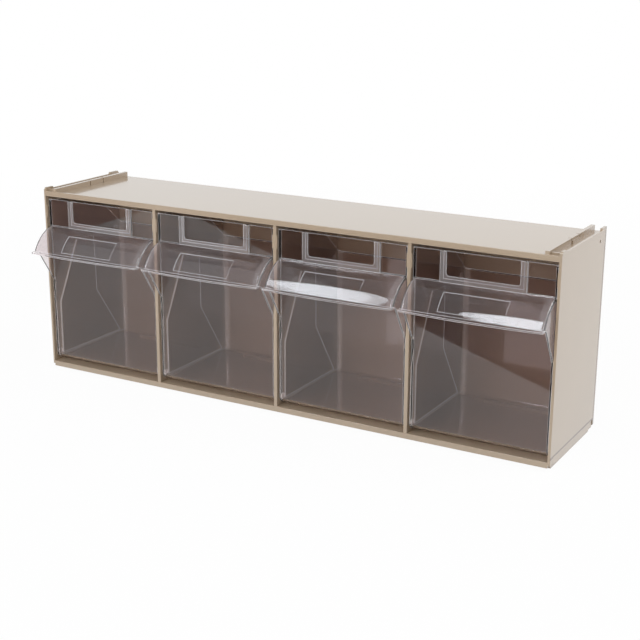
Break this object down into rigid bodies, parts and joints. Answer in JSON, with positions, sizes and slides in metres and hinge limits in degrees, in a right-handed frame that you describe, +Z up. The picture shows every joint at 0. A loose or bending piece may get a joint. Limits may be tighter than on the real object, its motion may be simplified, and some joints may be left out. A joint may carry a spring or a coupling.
{
  "type": "tip-out bin unit",
  "caption": "Low wide case of beige panels with a row of clear tip-out bins, each with a curved hood and a label holder, hinged at its lower front edge.",
  "frame": {"origin": "bottom centre of the whole unit with its hoods: mid width, mid depth, at the undersides of the two rails", "axes": "+X to the right seen from the front, +Y from the hoods to the back, +Z up"},
  "size_m": [0.6, 0.1629, 0.2111],
  "materials": {
    "case_plastic": "beige styrene moulding, satin with a slight sheen",
    "bin_plastic": "clear moulding with a faint grey violet tint, glossy"
  },
  "bodies": {
    "case": {"top_panel": "case_plastic", "bottom_panel": "case_plastic", "back_panel": "case_plastic", "left_side_panel": "case_plastic", "right_side_panel": "case_plastic", "divider_1": "case_plastic", "divider_2": "case_plastic", "divider_3": "case_plastic"},
    "bin_1": {"bin_1": "bin_plastic"},
    "bin_2": {"bin_2": "bin_plastic"},
    "bin_3": {"bin_3": "bin_plastic"},
    "bin_4": {"bin_4": "bin_plastic"}
  },
  "joints": [
    {"name": "bin_1_tip", "type": "hinge", "parent": "case", "child": "bin_1", "pos_m": [-0.22462, -0.03874, 0.0198], "axis": [1, 0, 0], "range_deg": [0, 42]},
    {"name": "bin_2_tip", "type": "hinge", "parent": "case", "child": "bin_2", "pos_m": [-0.07487, -0.03874, 0.0198], "axis": [1, 0, 0], "range_deg": [0, 42]},
    {"name": "bin_3_tip", "type": "hinge", "parent": "case", "child": "bin_3", "pos_m": [0.07487, -0.03874, 0.0198], "axis": [1, 0, 0], "range_deg": [0, 42]},
    {"name": "bin_4_tip", "type": "hinge", "parent": "case", "child": "bin_4", "pos_m": [0.22462, -0.03874, 0.0198], "axis": [1, 0, 0], "range_deg": [0, 42]}
  ]
}
